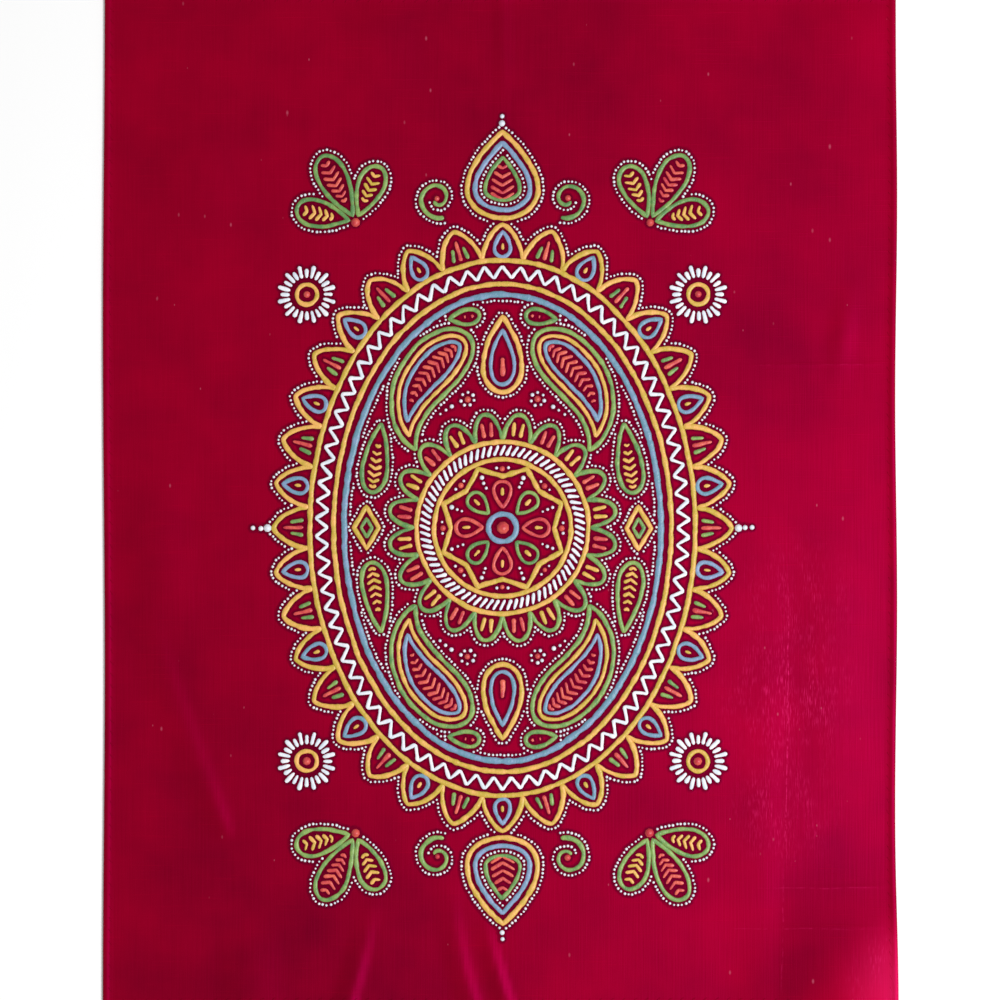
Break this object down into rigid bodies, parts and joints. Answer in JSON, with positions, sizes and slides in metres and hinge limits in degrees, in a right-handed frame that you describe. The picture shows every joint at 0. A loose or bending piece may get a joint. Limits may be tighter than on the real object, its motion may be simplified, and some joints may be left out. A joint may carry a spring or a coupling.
{
  "type": "rogan painted textile",
  "caption": "Flat rectangular crimson cloth with a narrow rolled hem, low folds and a lifted corner, painted with raised linework; lies on a surface.",
  "frame": {"origin": "under the middle of the cloth, on the surface it lies on", "axes": "+X across the cloth to its right edge, +Y up its length to the top of the painted panel, +Z out of the painted side"},
  "size_m": [0.286, 0.3662, 0.0062],
  "materials": {
    "cloth": "crimson satin with fine warp streaks",
    "paint_yellow": "raised ochre yellow oil paint, soft gloss",
    "paint_white": "raised white oil paint, soft gloss",
    "paint_blue": "raised steel blue oil paint, soft gloss",
    "paint_green": "raised leaf green oil paint, soft gloss",
    "paint_coral": "raised coral oil paint, soft gloss"
  },
  "bodies": {
    "root": {"painted_cloth": "cloth"}
  },
  "joints": []
}
